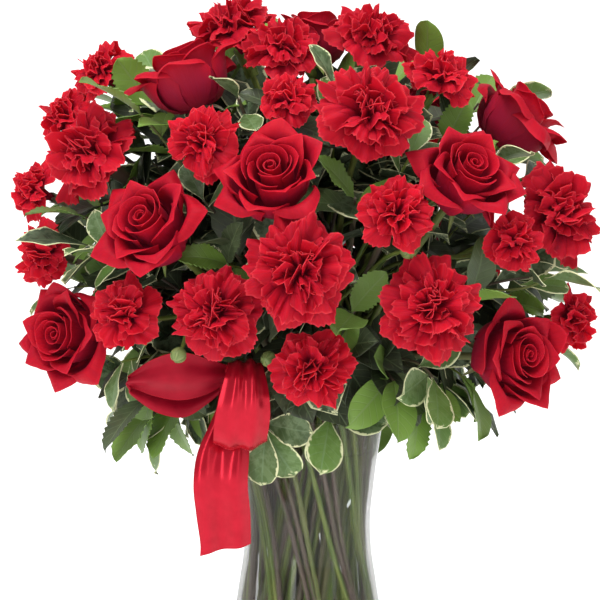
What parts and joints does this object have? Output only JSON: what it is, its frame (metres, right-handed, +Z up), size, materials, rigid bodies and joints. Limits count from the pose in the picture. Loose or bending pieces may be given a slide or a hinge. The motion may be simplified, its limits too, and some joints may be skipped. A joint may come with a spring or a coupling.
{
  "type": "roses and carnations in a vase",
  "caption": "A round arrangement of red roses and carnations with variegated foliage and a red satin bow, in a waisted clear glass vase of water.",
  "frame": {"origin": "centre of the vase's flat foot, on the surface it stands on", "axes": "+Z up along the vase's axis, -Y towards the front of the arrangement, +X to the right as seen from the front"},
  "size_m": [0.4128, 0.3701, 0.5108],
  "materials": {
    "glass": "polished",
    "water": "polished",
    "rose": "satin",
    "carnation": "matte",
    "small_carnation": "matte",
    "stem": "satin",
    "leaf": "satin",
    "ribbon": "gloss",
    "pick": "matte"
  },
  "bodies": {
    "root": {"vase": "glass", "water": "water", "bow_ribbon": "ribbon", "bow_pick": "pick", "rose_1": "rose", "rose_2": "rose", "rose_3": "rose", "rose_4": "rose", "rose_5": "rose", "rose_6": "rose", "rose_7": "rose", "rose_8": "rose", "rose_9": "rose", "rose_10": "rose", "rose_11": "rose", "rose_12": "rose", "carnation_1": "carnation", "carnation_2": "carnation", "carnation_3": "carnation", "carnation_4": "carnation", "carnation_5": "carnation", "carnation_6": "carnation", "carnation_7": "carnation", "carnation_8": "carnation", "carnation_9": "carnation", "carnation_10": "carnation", "carnation_11": "carnation", "carnation_12": "carnation", "small_carnation_1": "small_carnation", "small_carnation_2": "small_carnation", "small_carnation_3": "small_carnation", "small_carnation_4": "small_carnation", "small_carnation_5": "small_carnation", "small_carnation_6": "small_carnation", "small_carnation_7": "small_carnation", "small_carnation_8": "small_carnation", "small_carnation_9": "small_carnation", "small_carnation_10": "small_carnation", "small_carnation_11": "small_carnation", "small_carnation_12": "small_carnation", "small_carnation_13": "small_carnation", "small_carnation_14": "small_carnation", "small_carnation_15": "small_carnation", "stems_left": "stem", "stems_front": "stem", "stems_right": "stem", "stems_back_right": "stem", "stems_back_left": "stem", "stems_top": "stem", "spray_top_left": "stem", "spray_left": "stem", "spray_middle": "stem", "spray_front": "stem", "spray_right": "stem", "spray_back": "stem", "foliage_front_left": "leaf", "foliage_front_right": "leaf", "foliage_right": "leaf", "foliage_back": "leaf", "foliage_back_left": "leaf"}
  },
  "joints": []
}
